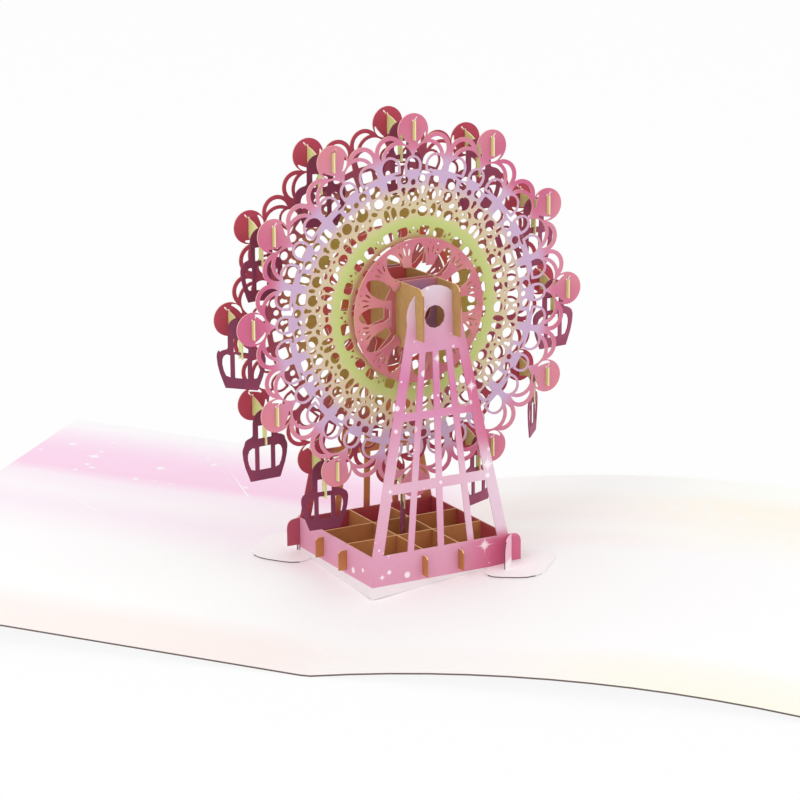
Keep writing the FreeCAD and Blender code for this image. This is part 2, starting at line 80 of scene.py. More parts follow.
# Each gondola is turned about its stem, in degrees, and hangs a little higher or lower, in mm
GONDOLA_SWING = (8, -6, 10, 6, 48, 24, 56, -4, 5, -48, 12, -10)
GONDOLA_LIFT = (0.2, 0, -0.2, 0.1, 0, 0.3, 0, 0.2, -0.9, 0.9, 0, 0.1)
SLOT_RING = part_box("hanger_01")[1].z - HANGER_HALF - AXLE_Z


# Shapes of cut paper

def polar(radius, degrees):
    turn = math.radians(degrees)
    return (radius * math.sin(turn), radius * math.cos(turn))


def arc(middle, radius, start, end, runs):
    """Points along an arc, angles in degrees clockwise from the top."""
    points = []
    for i in range(runs + 1):
        dx, dz = polar(radius, start + (end - start) * i / runs)
        points.append((middle[0] + dx, middle[1] + dz))
    return points


def turned(points, degrees):
    """Points drawn at the top of the wheel, carried round it clockwise."""
    cos, sin = math.cos(math.radians(degrees)), math.sin(math.radians(degrees))
    return [(x * cos + z * sin, z * cos - x * sin) for x, z in points]


def shifted(points, dx, dz):
    return [(x + dx, z + dz) for x, z in points]


def oval(middle, wide, high, lean=0.0, sides=14):
    """Oval hole with half sizes wide and high, leaning clockwise."""
    points = [polar(1.0, 360 * i / sides) for i in range(sides)]
    points = turned([(x * wide, z * high) for x, z in points], lean)
    return shifted(points, *middle)


def rounded_box(middle, wide, high, corner, lean=0.0):
    """Rectangle with half sizes wide and high and round corners."""
    points = []
    for sx, sz, start in ((1, 1, 0), (1, -1, 90), (-1, -1, 180), (-1, 1, 270)):
        points += arc((sx * (wide - corner), sz * (high - corner)), corner, start, start + 90, 4)
    return shifted(turned(points, lean), *middle)


def d_shape(middle, low, high, half):
    """Hole with a flat foot and a round head."""
    spring = low + 0.35 * (high - low)
    head = [(half * math.cos(math.radians(a)), spring + (high - spring) * math.sin(math.radians(a)))
            for a in range(0, 181, 18)]
    return shifted([(-half * 0.92, low), (half * 0.92, low)] + head, middle, 0)


def bowed_strip(middle, radius, wide, start, end, runs, tip=1.0):
    """Strip along an arc, narrower at its ends where tip is below 1."""
    outer, inner = [], []
    for i in range(runs + 1):
        half = wide / 2 * (tip + (1 - tip) * math.sin(math.pi * i / runs))
        turn = start + (end - start) * i / runs
        for points, reach in ((outer, radius + half), (inner, radius - half)):
            dx, dz = polar(reach, turn)
            points.append((middle[0] + dx, middle[1] + dz))
    return outer + inner[::-1]


def full_circle(middle, radius, sides=32):
    return oval(middle, radius, radius, 0, sides)


def cut_sheet(name, outline, layers, middle, along, front):
    """A flat cut-out as a mesh, drawn in the plane of along and UP through middle.

    Layers are painted one over the other: (True, loop) is paper and (False, loop) is a hole.
    """
    painted = [(True, outline)] + layers
    points, loops = [], []
    for _, loop in painted:
        area = sum(a[0] * b[1] - b[0] * a[1] for a, b in zip(loop, loop[1:] + loop[:1]))
        loops.append(list(range(len(points), len(points) + len(loop))))
        points += [Vector((x / MM, z / MM)) for x, z in (loop if area > 0 else reversed(loop))]
    spots, _, faces, _, _, sources = delaunay_2d_cdt(points, [], loops, 1, 1e-6)
    kept = [tuple(face) for face, inside in zip(faces, sources)
            if 0 in inside and painted[max(inside)][0]]
    place = Matrix((along, UP, front)).transposed()
    bm = bmesh.new()
    sheets = []
    for side in (-1, 1):
        depth = front * side * PAPER / 2
        corners = [bm.verts.new(middle + place @ Vector((x * MM, z * MM, 0)) + depth) for x, z in spots]
        for face in kept:
            bm.faces.new([corners[i] for i in face])
        sheets.append(corners)
    rims = {}
    for face in kept:
        for a, b in zip(face, face[1:] + face[:1]):
            rims[(a, b)] = (b, a) not in rims
            if (b, a) in rims:
                rims[(b, a)] = False
    for (a, b), free in rims.items():
        if free:
            bm.faces.new([sheets[0][a], sheets[0][b], sheets[1][b], sheets[1][a]])
    bmesh.ops.delete(bm, geom=[v for v in bm.verts if not v.link_faces], context="VERTS")
    bmesh.ops.recalc_face_normals(bm, faces=bm.faces)
    mesh = bpy.data.meshes.new(name)
    bm.to_mesh(mesh)
    bm.free()
    piece = bpy.data.objects.new(name, mesh)
    bpy.context.scene.collection.objects.link(piece)
    return piece


# The lace of the wheel, drawn in millimetres on a wheel of radius DRAWN_R, angles in degrees

SQUARE = ((-1, -1), (1, -1), (1, 1), (-1, 1))
DRAWN_R = 59.6
HEAD_DISC = 5.155
HEAD_RING = DRAWN_R - HEAD_DISC
LOOP_TURN = 9.4
LOOP_RING = 49.0
LOOP_DISC = 4.95
SECTOR = 360 / HEADS


def circle_meet(first, second):
    """Outer point where two overlapping circles cross."""
    (ax, az), ar = first
    (bx, bz), br = second
    gap = math.hypot(bx - ax, bz - az)
    along = (gap ** 2 + ar ** 2 - br ** 2) / (2 * gap)
    out = math.sqrt(max(ar ** 2 - along ** 2, 0))
    ux, uz = (bx - ax) / gap, (bz - az) / gap
    options = [(ax + along * ux - s * out * uz, az + along * uz + s * out * ux) for s in (-1, 1)]
    return max(options, key=lambda p: math.hypot(*p))


def scalloped_edge():
    """Free edge of a wheel disc: a round head and two loops, twelve times."""
    circles = []
    for k in range(HEADS):
        circles.append((polar(HEAD_RING, SECTOR * k), HEAD_DISC, 26))
        for turn in (LOOP_TURN, SECTOR - LOOP_TURN):
            circles.append((polar(LOOP_RING, SECTOR * k + turn), LOOP_DISC, 14))
    points = []
    for i, (middle, radius, runs) in enumerate(circles):
        start = circle_meet(circles[i - 1][:2], (middle, radius))
        end = circle_meet((middle, radius), circles[(i + 1) % len(circles)][:2])
        a0 = math.degrees(math.atan2(start[0] - middle[0], start[1] - middle[1]))
        a1 = math.degrees(math.atan2(end[0] - middle[0], end[1] - middle[1]))
        points += arc(middle, radius, a0, a1 + (360 if a1 < a0 else 0), runs)[:-1]
    return points


def mirrored(layers):
    """The layers and their mirror image, layer by layer."""
    out = []
    for paper, loop in layers:
        out += [(paper, loop), (paper, [(-x, z) for x, z in loop])]
    return out


def loop_layers():
    """Two crossing bows of paper under each loop of the edge."""
    outer = polar(LOOP_RING, LOOP_TURN)
    inner = polar(45.9, 6.1)
    return [(False, full_circle(outer, 3.65, 28)), (True, full_circle(inner, 5.85, 36)),
            (False, full_circle(inner, 4.75, 32))]


def eye_layers():
    """Rings of paper round the windows that stand on the lilac band."""
    layers = []
    for paper, extra in ((True, 0.75), (False, 0.0)):
        layers.append((paper, d_shape(0, 42.6 - extra, 46.2 + extra, 2.15 + extra)))
        for s in (-1, 1):
            layers.append((paper, turned(d_shape(0, 42.6 - extra, 47.0 + extra, 2.75 + extra), 10.2 * s)))
    return layers


def row_layers():
    """Rows of small holes from the lilac band in to the lime band, for half a sector."""
    holes = [rounded_box((0, 39.0), 1.8, 1.7, 0.7)]
    spots = [turned(holes[0], 10.5)]
    for radius, degrees, wide, high, lean in ((39.7, 4.3, 1.35, 1.25, 0), (36.9, 5.3, 0.8, 0.75, 0),
                                              (35.0, 10.3, 1.75, 1.75, 0), (32.9, 6.1, 1.15, 0.7, 35),
                                              (35.8, 5.2, 0.55, 0.85, 0), (29.8, 6.0, 1.8, 1.6, 0),
                                              (30.5, 12.7, 1.0, 2.1, 0), (32.1, 2.4, 0.5, 0.5, 0)):
        spots.append(turned(oval((0, radius), wide, high, lean, 18 if wide > 1 else 10), degrees))
    spots.append(turned(rounded_box((0, 24.0), 1.8, 1.45, 0.9), 9.0))
    spots.append(turned([(-0.55, 23.3), (0.55, 23.3), (0.1, 24.5)], 3.1))
    return [(False, spot) for spot in spots]


def middle_holes():
    """Holes on the line from the axle to a head."""
    return [oval((0, 38.8), 0.9, 0.95, 0, 12), oval((0, 35.0), 2.2, 2.1, 0, 22),
            oval((0, 29.9), 0.95, 0.75, 0, 10),
            turned(oval((0, 35.9), 0.65, 1.25, 0, 10), 15), turned(oval((0, 32.9), 0.8, 0.55, 0, 10), 15),
            [(-0.6, 24.4), (0.6, 24.4), (0, 25.6)]]


def rose_holes(k):
    """Openings of the rose centre round the k-th spoke. Beside the plates they start further out."""
    low = 12.1 if k % 6 in (1, 5) else 10.2
    right = [(1.25, low), (2.35, low + 2.1), (2.6, 15.2), (2.45, 17.4), (1.7, 19.3), (0.6, 20.7)]
    holes = [right + [(-x, z) for x, z in reversed(right)]]
    holes.append(turned(oval((0, 19.0), 0.32, 1.5, 0, 10), 15))
    for s in (-1, 1):
        holes.append(turned(oval((0, 20.9), 0.38, 0.3, 0, 8), 15 + 3.6 * s))
        holes.append(turned(oval((0, 18.5), 0.36, 1.25, 16 * s, 10), 15 + 4.6 * s))
    return [turned(hole, SECTOR * k) for hole in holes]


def wedge_hole(k):
    """Opening between two thin spokes of the lace disc, behind the rose disc."""
    foot = [(0.8, 12.1)] if k % 6 in (1, 5) else [(1.9, 10.4)]
    right = foot + [(2.75, 13.2), (4.55, 19.8), (4.1, 21.0), (1.8, 21.5)]
    return turned(right + [(-x, z) for x, z in reversed(right)], SECTOR * k)


def hub_slots():
    """Slots in which the disc sits on the two plates."""
    half = PAPER / 2 + PLAY
    middle = (HUB_PLATE_UP - HUB_PLATE_DOWN) / 2
    high = (HUB_PLATE_UP + HUB_PLATE_DOWN) / 2 + PLAY
    return [(False, [(s * HUB_PLATE_X + a * half, middle + b * high) for a, b in SQUARE]) for s in (-1, 1)]


def plate_gap():
    """Opening over the plates' upper edges, which are seen through it from the front."""
    gap = [(-8.2, 9.6), (8.2, 9.6), (8.0, 11.4), (6.0, 13.6), (-6.0, 13.6), (-8.0, 11.4)]
    return (False, scaled(gap, MM))


def scaled(points, unit):
    return [(x * unit, z * unit) for x, z in points]


def round_wheel(layers, unit):
    """The layers of one sector, in every sector. Layer by layer, so that neighbours may overlap."""
    return [(paper, turned(scaled(loop, unit), SECTOR * k)) for paper, loop in layers for k in range(HEADS)]


def lace_disc():
    """A whole lace disc. Its front is printed, its slots are upright for the hangers."""
    unit = WHEEL_R / DRAWN_R
    layers = round_wheel(mirrored(loop_layers()) + eye_layers(), unit)
    holes = mirrored(row_layers()) + [(False, hole) for hole in middle_holes()]
    comma = bowed_strip((0, HEAD_RING), 4.35, 1.15, 100, 162, 9, 0.35)
    head = (True, full_circle((0, HEAD_RING), HEAD_DISC - 0.02, 30))
    layers += round_wheel([head] + mirrored([(False, comma)]), unit)
    layers += round_wheel(holes, unit) + hub_slots()
    layers += [(False, scaled(wedge_hole(k), unit)) for k in range(HEADS)]
    layers += [(False, full_circle((0, 0), 4.8 * MM, 28)), plate_gap()]
    half = PAPER / 2 + PLAY
    tab = HANGER_HALF + PLAY
    for k in range(HEADS):
        x, z = polar(SLOT_RING, SECTOR * k)
        layers.append((False, [(x + a * half, z + b * tab) for a, b in SQUARE]))
        slit = rounded_box((x + 0.95 * MM, z + 3.3 * MM), 0.22 * MM, 0.75 * MM, 0.2 * MM, 40)
        layers.append((False, slit))
    edge = scaled(scalloped_edge(), unit)
    return cut_sheet("lace_front", edge, layers, AXLE + FRONT * DISC_Y, ALONG, FRONT)


def rose_disc():
    """The smaller disc outside the lace, with kites, thin slits and openings beside the plates."""
    layers = [(False, scaled(hole, MM)) for k in range(HEADS) for hole in rose_holes(k)]
    layers += [(False, full_circle((0, 0), 3.9 * MM, 28)), plate_gap()]
    for s in (-1, 1):
        beside = [(s * 6.55, -8.0), (s * 9.5, -5.9), (s * 9.5, 5.9), (s * 6.55, 8.0)]
        layers.append((False, scaled(beside, MM)))
    return cut_sheet("rose_front", arc((0, 0), HUB_R, 0, 354, 59), layers + hub_slots(),
                     AXLE + FRONT * HUB_DISC_Y, ALONG, FRONT)


def crossing_half(swing):
    """Half width of a slot through which a sheet passes at a slant."""
    turn = math.radians(abs(swing))
    return (PAPER / math.cos(turn) + PAPER * math.tan(turn)) / 2 / MM + 0.06


def hanging_sheet(name, k, outline, layers, swing):
    """A small sheet in millimetres, upright under the k-th head and turned about its stem."""
    turn = TURN + math.radians(swing)
    x, z = polar(SLOT_RING, SECTOR * k)
    middle = AXLE + ALONG * x + UP * z
    along = Vector((math.cos(turn), math.sin(turn), 0))
    front = Vector((math.sin(turn), -math.cos(turn), 0))
    layers = [(paper, scaled(loop, MM)) for paper, loop in layers]
    return cut_sheet(name, scaled(outline, MM), layers, middle, along, front)


def hanger_sheet(k):
    """Arms to both discs with a dip between them, and the notched stem."""
    notch = crossing_half(GONDOLA_SWING[k])
    right = [(notch, -8.6), (notch, -10.7), (1.2, -10.7), (1.2, -3.6), (3.0, -2.4), (7.64, -3.5),
             (7.64, -3.0), (9.5, -3.0), (9.5, 3.0), (5.0, 1.9), (1.6, 0.5)]
    return hanging_sheet("arm_%02d" % (k + 1), k, right + [(-y, z) for y, z in reversed(right)], [], 90)


def gondola_sheet(k):
    """Gondola with a round neck, round shoulders, three windows and a solid foot."""
    swing, lift = GONDOLA_SWING[k], GONDOLA_LIFT[k]
    slit = crossing_half(swing)
    right = [(slit, -4.6)] + arc((0, -2.9), 4.1, math.degrees(math.asin(slit / 4.1)), 88, 9)
    right += [(4.15, -7.2)] + arc((4.95, -7.2), 0.8, 270, 196, 4)
    right += arc((4.7, -11.2), 3.1, 12, 96, 8) + [(7.55, -13.6), (6.9, -16.2), (5.15, -20.7)]
    neck_hole = [(2.4, -8.63), (2.4, -4.6)]
    half = [(u, z + lift if z < -9 or z > -4 else z) for u, z in neck_hole + right]
    outline = half + [(-u, z) for u, z in reversed(half)]
    pane = [(3.45, -10.6), (4.5, -10.35), (5.6, -11.0), (6.1, -12.2), (6.15, -13.6), (5.75, -15.4),
            (5.0, -17.0), (3.45, -17.45)]
    holes = [rounded_box((0, -13.85), 2.1, 3.65, 0.25), pane, [(-u, z) for u, z in pane]]
    layers = [(False, shifted(hole, 0, lift)) for hole in holes]
    return hanging_sheet("cabin_%02d" % (k + 1), k, outline, layers, swing)


def rear_copy(piece, name):
    """The same cut-out turned half round the upright axis."""
    mesh = piece.data.copy()
    mesh.name = name
    mesh.transform(Matrix.Rotation(math.pi, 4, "Z"))
    made = bpy.data.objects.new(name, mesh)
    bpy.context.scene.collection.objects.link(made)
    return made


# Materials

def linear(colour):
    """Screen colour to scene colour."""
    out = [c / 12.92 if c <= 0.04045 else ((c + 0.055) / 1.055) ** 2.4 for c in colour]
    return (*out, 1.0)


class Print:
    """Builds the print of one kind of paper."""

    def __init__(self, name, rough=0.62, bump=0.12):
        self.material = bpy.data.materials.new(name)
        self.material.use_nodes = True
        self.tree = self.material.node_tree
        self.shader = self.tree.nodes["Principled BSDF"]
        self.shader.inputs["Roughness"].default_value = rough
        self.shader.inputs["Specular IOR Level"].default_value = 0.3
        self.coords = self.node("ShaderNodeTexCoord").outputs["Object"]
        fibres = self.noise(1600, 4, 0.65)
        lift = self.node("ShaderNodeBump")
        lift.inputs["Strength"].default_value = bump
        lift.inputs["Distance"].default_value = 0.00008
        self.link(fibres, lift.inputs["Height"])
        self.link(lift.outputs["Normal"], self.shader.inputs["Normal"])
        self.fibres = fibres

    def node(self, kind, **options):
        made = self.tree.nodes.new(kind)
        for key, value in options.items():
            setattr(made, key, value)
        return made

    def link(self, source, target):
        self.tree.links.new(source, target)

    def put(self, target, value):
        if isinstance(value, (int, float)):
            target.default_value = value
        elif isinstance(value, tuple):
            target.default_value = linear(value) if len(value) == 3 and target.type == "RGBA" else value
        else:
            self.link(value, target)

    def math(self, operation, a, b=0.0, clamp=False):
        made = self.node("ShaderNodeMath", operation=operation, use_clamp=clamp)
        self.put(made.inputs[0], a)
        self.put(made.inputs[1], b)
        return made.outputs[0]

    def noise(self, scale, detail=2, rough=0.5, coords=None, squash=(1, 1, 1)):
        made = self.node("ShaderNodeTexNoise")
        made.inputs["Scale"].default_value = scale
        made.inputs["Detail"].default_value = detail
        made.inputs["Roughness"].default_value = rough
        if squash != (1, 1, 1):
            mapping = self.node("ShaderNodeMapping")
            mapping.inputs["Scale"].default_value = squash
            self.link(coords or self.coords, mapping.inputs["Vector"])
            coords = mapping.outputs["Vector"]
        self.link(coords or self.coords, made.inputs["Vector"])
        return made.outputs["Fac"]

    def step(self, value, low, high):
        """0 below low, 1 above high, or the other way round if low is the larger."""
        made = self.node("ShaderNodeMapRange", interpolation_type="SMOOTHSTEP")
        self.put(made.inputs["Value"], value)
        first, last, a, b = (low, high, 0.0, 1.0) if low < high else (high, low, 1.0, 0.0)
        made.inputs["From Min"].default_value = first
        made.inputs["From Max"].default_value = last
        made.inputs["To Min"].default_value = a
        made.inputs["To Max"].default_value = b
        return made.outputs["Result"]

    def mix(self, share, a, b):
        made = self.node("ShaderNodeMix", data_type="RGBA")
        self.put(made.inputs[0], share)
        self.put(made.inputs[6], a)
        self.put(made.inputs[7], b)
        return made.outputs[2]

    def ramp(self, value, stops, low=0.0, high=1.0):
        """Colour that changes along value, stops given in value's own unit."""
        made = self.node("ShaderNodeValToRGB")
        elements = made.color_ramp.elements
        while len(elements) < len(stops):
            elements.new(0.5)
        for element, (place, colour) in zip(elements, stops):
            element.position = (place - low) / (high - low)
            element.color = linear(colour)
        spread = self.math("DIVIDE", self.math("SUBTRACT", value, low), high - low)
        self.link(spread, made.inputs["Fac"])
        return made.outputs["Color"]

    def wheel_mm(self):
        """x, y and z in millimetres in the wheel's own frame, z from the box's lower edge."""
        mapping = self.node("ShaderNodeMapping", vector_type="TEXTURE")
        mapping.inputs["Location"].default_value = (0, 0, BOX_Z)
        mapping.inputs["Rotation"].default_value = (0, 0, TURN)
        mapping.inputs["Scale"].default_value = (MM, MM, MM)
        self.link(self.coords, mapping.inputs["Vector"])
        split = self.node("ShaderNodeSeparateXYZ")
        self.link(mapping.outputs["Vector"], split.inputs[0])
        return split.outputs

    def card_mm(self):
        """x, y and z in millimetres in the row frame."""
        scale = self.node("ShaderNodeVectorMath", operation="SCALE")
        self.link(self.coords, scale.inputs[0])
        scale.inputs["Scale"].default_value = 1 / MM
        split = self.node("ShaderNodeSeparateXYZ")
        self.link(scale.outputs[0], split.inputs[0])
        return split.outputs

    def facing(self, direction):
        """How far the surface faces along a direction, from -1 to 1."""
        geometry = self.node("ShaderNodeNewGeometry")
        dot = self.node("ShaderNodeVectorMath", operation="DOT_PRODUCT")
        self.link(geometry.outputs["True Normal"], dot.inputs[0])
        dot.inputs[1].default_value = tuple(direction)
        return dot.outputs["Value"]

    def vector(self, x, y, z=0.0):
        made = self.node("ShaderNodeCombineXYZ")
        for socket, value in zip(made.inputs, (x, y, z)):
            self.put(socket, value)
        return made.outputs[0]

    def dots(self, x, y, pitch, size, seed):
        """Soft dots of different sizes, one in some cells of a loose grid. x, y and sizes in mm."""
        cells = self.node("ShaderNodeTexVoronoi", voronoi_dimensions="3D")
        cells.inputs["Scale"].default_value = 1 / pitch
        self.link(self.vector(x, y, seed), cells.inputs["Vector"])
        pick = self.node("ShaderNodeSeparateColor")
        self.link(cells.outputs["Color"], pick.inputs[0])
        radius = self.math("MULTIPLY", pick.outputs[0], size / pitch)
        gap = self.math("SUBTRACT", cells.outputs["Distance"], radius)
        return self.math("MULTIPLY", self.step(gap, 0.04, -0.04), self.step(pick.outputs[1], 0.35, 0.45))

    def star(self, x, y, at, size):
        """One star with four thin rays and a bright middle, at a place in mm."""
        dx = self.math("ABSOLUTE", self.math("DIVIDE", self.math("SUBTRACT", x, at[0]), size))
        dy = self.math("ABSOLUTE", self.math("DIVIDE", self.math("SUBTRACT", y, at[1]), size))
        spread = self.math("ADD", self.math("POWER", dx, 0.38), self.math("POWER", dy, 0.38))
        core = self.math("ADD", self.math("MULTIPLY", dx, dx), self.math("MULTIPLY", dy, dy))
        return self.math("MAXIMUM", self.step(spread, 1.12, 0.75), self.step(core, 0.16, -0.02))

    def streak(self, x, y, start, end, width):
        """A line that tapers from its start to its end, places in mm."""
        length = math.hypot(end[0] - start[0], end[1] - start[1])
        ux, uy = (end[0] - start[0]) / length, (end[1] - start[1]) / length
        dx, dy = self.math("SUBTRACT", x, start[0]), self.math("SUBTRACT", y, start[1])
        along = self.math("ADD", self.math("MULTIPLY", dx, ux), self.math("MULTIPLY", dy, uy))
        across = self.math("ABSOLUTE", self.math("SUBTRACT", self.math("MULTIPLY", dx, -uy),
                                                 self.math("MULTIPLY", dy, -ux)))
        half = self.math("MULTIPLY", self.math("SUBTRACT", length, along), width / 2 / length)
        inside = self.step(self.math("SUBTRACT", half, across), -0.1, 0.1)
        ends = self.math("MULTIPLY", self.step(along, 0, 0.5), self.step(along, length, length - 0.5))
        return self.math("MULTIPLY", inside, ends)

    def finish(self, colour, grain=0.06):
        """Adds the paper's fine grain and wires the colour."""
        soft = self.noise(220, 3, 0.6)
        fine = self.math("MULTIPLY", self.fibres, grain)
        shade = self.math("ADD", fine, self.math("MULTIPLY", soft, grain))
        shade = self.math("SUBTRACT", 1 + grain, shade)
        made = self.node("ShaderNodeVectorMath", operation="SCALE")
        self.link(colour, made.inputs[0])
        self.link(shade, made.inputs["Scale"])
        self.link(made.outputs[0], self.shader.inputs["Base Color"])
        return self.material


CUT = (0.90, 0.74, 0.66)
KRAFT = (0.76, 0.52, 0.31)
CRIMSON = (0.76, 0.29, 0.38)


def lace_print():
    """Rings of colour from the axle out on the front, crimson on the back."""
    p = Print("lace_print")
    x, y, z = p.wheel_mm()
    axle = (AXLE_Z - BOX_Z) / MM
    radius = WHEEL_R / MM
    height = p.math("SUBTRACT", z, axle)
    squares = p.math("ADD", p.math("MULTIPLY", x, x), p.math("MULTIPLY", height, height))
    r = p.math("DIVIDE", p.math("SQRT", squares), radius)
    r = p.math("ADD", r, p.math("MULTIPLY", p.math("SUBTRACT", p.noise(60, 2), 0.5), 0.02))
    rings = p.ramp(r, ((0.30, (0.83, 0.47, 0.50)), (0.365, (0.80, 0.60, 0.50)), (0.39, (0.76, 0.80, 0.48)),
                       (0.455, (0.77, 0.81, 0.51)), (0.49, (0.83, 0.78, 0.60)), (0.61, (0.84, 0.75, 0.68)),
                       (0.655, (0.79, 0.68, 0.80)), (0.76, (0.80, 0.67, 0.80)), (0.82, (0.83, 0.53, 0.64)),
                       (1.0, (0.86, 0.52, 0.57))))
    blush = p.step(p.noise(22, 1), 0.42, 0.60)
    rim = p.math("MULTIPLY", p.step(r, 0.78, 0.86), blush)
    rings = p.mix(p.math("MULTIPLY", rim, 0.9), rings, (0.80, 0.38, 0.54))
    inside = p.ramp(r, ((0.24, (0.86, 0.40, 0.40)), (0.38, (0.86, 0.40, 0.34)), (0.43, (0.74, 0.71, 0.32)),
                        (0.52, (0.74, 0.69, 0.34)), (0.58, (0.76, 0.56, 0.38)), (0.66, (0.68, 0.36, 0.45)),
                        (0.78, (0.68, 0.30, 0.40)), (0.88, CRIMSON)))
    inside = p.mix(p.math("MULTIPLY", p.step(p.noise(35, 2), 0.35, 0.65), 0.25), inside, (0.70, 0.26, 0.34))
    front = p.facing(FRONT)
    outward = p.math("MULTIPLY", front, p.step(y, 0.5, -0.5))
    back = p.math("MULTIPLY", p.math("MULTIPLY", front, -1), p.step(y, -0.5, 0.5))
    shown = p.step(p.math("ADD", outward, back), 0.3, 0.7)
    edge = p.step(p.math("ABSOLUTE", front), 0.7, 0.3)
    colour = p.mix(shown, inside, rings)
    return p.finish(p.mix(edge, colour, CUT))


def rose_print():
    """Warm pink with a mauve middle."""
    p = Print("rose_print")
    x, y, z = p.wheel_mm()
    warm = p.step(p.noise(70, 2), 0.38, 0.62)
    colour = p.mix(warm, (0.80, 0.45, 0.52), (0.84, 0.54, 0.54))
    height = p.math("SUBTRACT", z, (AXLE_Z - BOX_Z) / MM)
    r = p.math("SQRT", p.math("ADD", p.math("MULTIPLY", x, x), p.math("MULTIPLY", height, height)))
    colour = p.mix(p.step(r, 12.5, 6.5), colour, (0.67, 0.50, 0.63))
    edge = p.step(p.math("ABSOLUTE", p.facing(FRONT)), 0.7, 0.3)
    return p.finish(p.mix(edge, colour, CUT))


def tower_print(name, front):
    """Pink on the outside with white dots and stars, kraft and crimson inside, a pale foot tinted grey as
    painted shade.
    """
    p = Print(name)
    x, y, z = p.wheel_mm()
    cloud = p.noise(38, 3, 0.5)
    high = p.math("ADD", z, p.math("MULTIPLY", p.math("SUBTRACT", cloud, 0.5), 22))
    outside = p.ramp(high, ((0, (0.86, 0.59, 0.69)), (14, (0.87, 0.63, 0.73)), (30, (0.89, 0.71, 0.79)),
                            (45, (0.86, 0.60, 0.72)), (60, (0.84, 0.50, 0.67)), (76, (0.87, 0.64, 0.75)),
                            (90, (0.89, 0.81, 0.86))), 0, 95)
    side = 1 if front else -1
    rosy = p.step(p.math("ADD", p.math("MULTIPLY", x, side), p.math("MULTIPLY", cloud, 12)), 8, 27)
    pale = p.math("MULTIPLY", p.step(z, 8, 13), p.step(z, 42, 34))
    outside = p.mix(rosy, outside, p.mix(pale, (0.81, 0.41, 0.54), (0.90, 0.79, 0.85)))
    flat = p.math("ADD", x, y)
    sparkle = p.math("MAXIMUM", p.dots(flat, z, 3.0, 0.42, 2.0), p.dots(flat, z, 5.0, 1.15, 9.0))
    for at, size in (((15.4, 7.3), 4.2), ((-18.3, 10.5), 3.8), ((17.1, 32.6), 4.2), ((12.0, 57.7), 3.4),
                     ((-20.5, 2.8), 2.0), ((0.5, 67.7), 2.8), ((-17.0, 29.0), 1.8)):
        sparkle = p.math("MAXIMUM", sparkle, p.star(p.math("MULTIPLY", x, side), z, at, size))
    outside = p.mix(p.math("MULTIPLY", sparkle, 0.8), outside, (1.0, 0.97, 0.98))
    # Below the box's lower edge the wall is a pale foot, tinted pinkish grey: painted shade under the box.
    outside = p.mix(p.step(z, 0.1, -0.1), outside, (0.93, 0.89, 0.90))
    inside = p.mix(p.step(z, 7.5, 14), (0.72, 0.29, 0.33), (0.82, 0.56, 0.35))
    inside = p.mix(p.step(p.math("MULTIPLY", x, side), 10, 15), inside, (0.70, 0.33, 0.40))
    out_y = p.math("MULTIPLY", p.facing(FRONT), side)
    out_x = p.math("MULTIPLY", p.facing(-ALONG), side)
    outer = p.step(p.math("MAXIMUM", out_y, out_x), 0.3, 0.7)
    inner = p.step(p.math("MINIMUM", out_y, out_x), -0.3, -0.7)
    colour = p.mix(outer, (0.93, 0.74, 0.76), outside)
    return p.finish(p.mix(inner, colour, inside))


def kraft_print():
    """Brown fibrous paper with pale cut edges."""
    p = Print("kraft_paper", 0.7, 0.2)
    flecks = p.step(p.noise(900, 2, 0.6, squash=(1, 1, 0.4)), 0.55, 0.72)
    tone = p.mix(p.step(p.noise(60, 2), 0.35, 0.65), KRAFT, (0.72, 0.46, 0.27))
    x, y, z = p.wheel_mm()
    outer = p.step(p.math("MULTIPLY", p.facing(-ALONG), p.step(z, 45, 55)), 0.3, 0.7)
    tone = p.mix(outer, tone, (0.74, 0.60, 0.38))
    colour = p.mix(p.math("MULTIPLY", flecks, 0.3), tone, (0.62, 0.42, 0.25))
    across = p.math("MAXIMUM", p.math("ABSOLUTE", p.facing(FRONT)), p.math("ABSOLUTE", p.facing(ALONG)))
    edge = p.step(p.math("ABSOLUTE", p.facing(UP)), 0.3, 0.7)
    colour = p.mix(p.step(across, 0.98, 0.9), colour, (0.94, 0.76, 0.56))
    return p.finish(p.mix(edge, colour, (0.95, 0.78, 0.58)), 0.1)


def hanger_print():
    """Pale lime with cream cut edges."""
    p = Print("hanger_print")
    tone = p.mix(p.step(p.noise(90, 2), 0.4, 0.6), (0.86, 0.90, 0.60), (0.84, 0.84, 0.54))
    edge = p.step(p.math("ABSOLUTE", p.facing(ALONG)), 0.7, 0.3)
    return p.finish(p.mix(edge, tone, (0.95, 0.90, 0.72)))


def gondola_print():
    """Plum, warmer towards the right of the wheel."""
    p = Print("gondola_print")
    x, y, z = p.wheel_mm()
    tone = p.mix(p.step(x, -30, 45), (0.48, 0.20, 0.31), (0.64, 0.32, 0.44))
    tone = p.mix(p.math("MULTIPLY", p.step(p.noise(120, 2), 0.4, 0.65), 0.5), tone, (0.56, 0.22, 0.33))
    return p.finish(tone)


